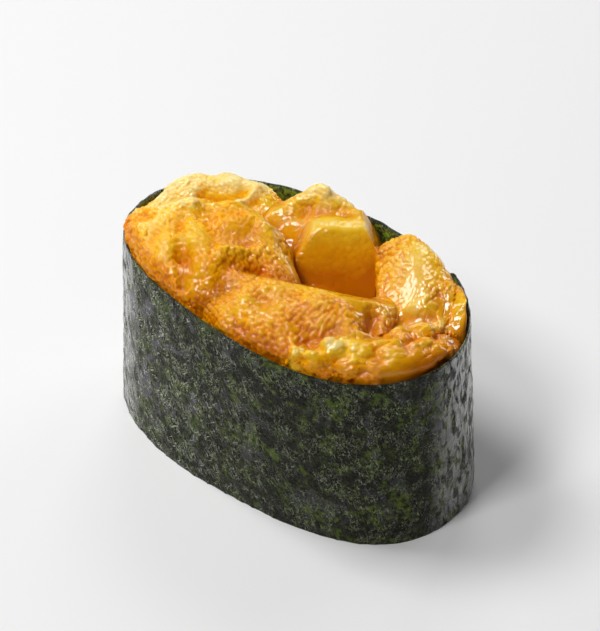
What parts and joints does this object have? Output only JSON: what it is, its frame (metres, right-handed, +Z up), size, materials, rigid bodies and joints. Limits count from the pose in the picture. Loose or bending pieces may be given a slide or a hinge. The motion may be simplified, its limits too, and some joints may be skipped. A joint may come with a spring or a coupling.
{
  "type": "sea urchin gunkan sushi",
  "caption": "Oval finger of rice wrapped upright in a strip of dried seaweed and heaped with tongues of sea urchin roe.",
  "frame": {"origin": "centre of the object's base, on the surface it stands on", "axes": "+Z up; X along the oval's length, with the seaweed's lap towards +X on the +Y side; -Y is the long side that faces the viewer"},
  "size_m": [0.0585, 0.0337, 0.0361],
  "materials": {
    "seaweed": "dry pressed fibres, dark green-black with brighter green specks and a low sheen",
    "rice": "moist cooked grains, off-white and slightly translucent",
    "roe": "wet and granular, translucent yellow-orange"
  },
  "bodies": {
    "root": {"seaweed_strip": "seaweed", "rice_finger": "rice", "roe_back_middle": "roe", "roe_middle": "roe", "roe_front_left": "roe", "roe_front": "roe", "roe_back_right": "roe", "roe_back_left": "roe", "roe_front_right": "roe", "roe_right_tip": "roe"}
  },
  "joints": []
}
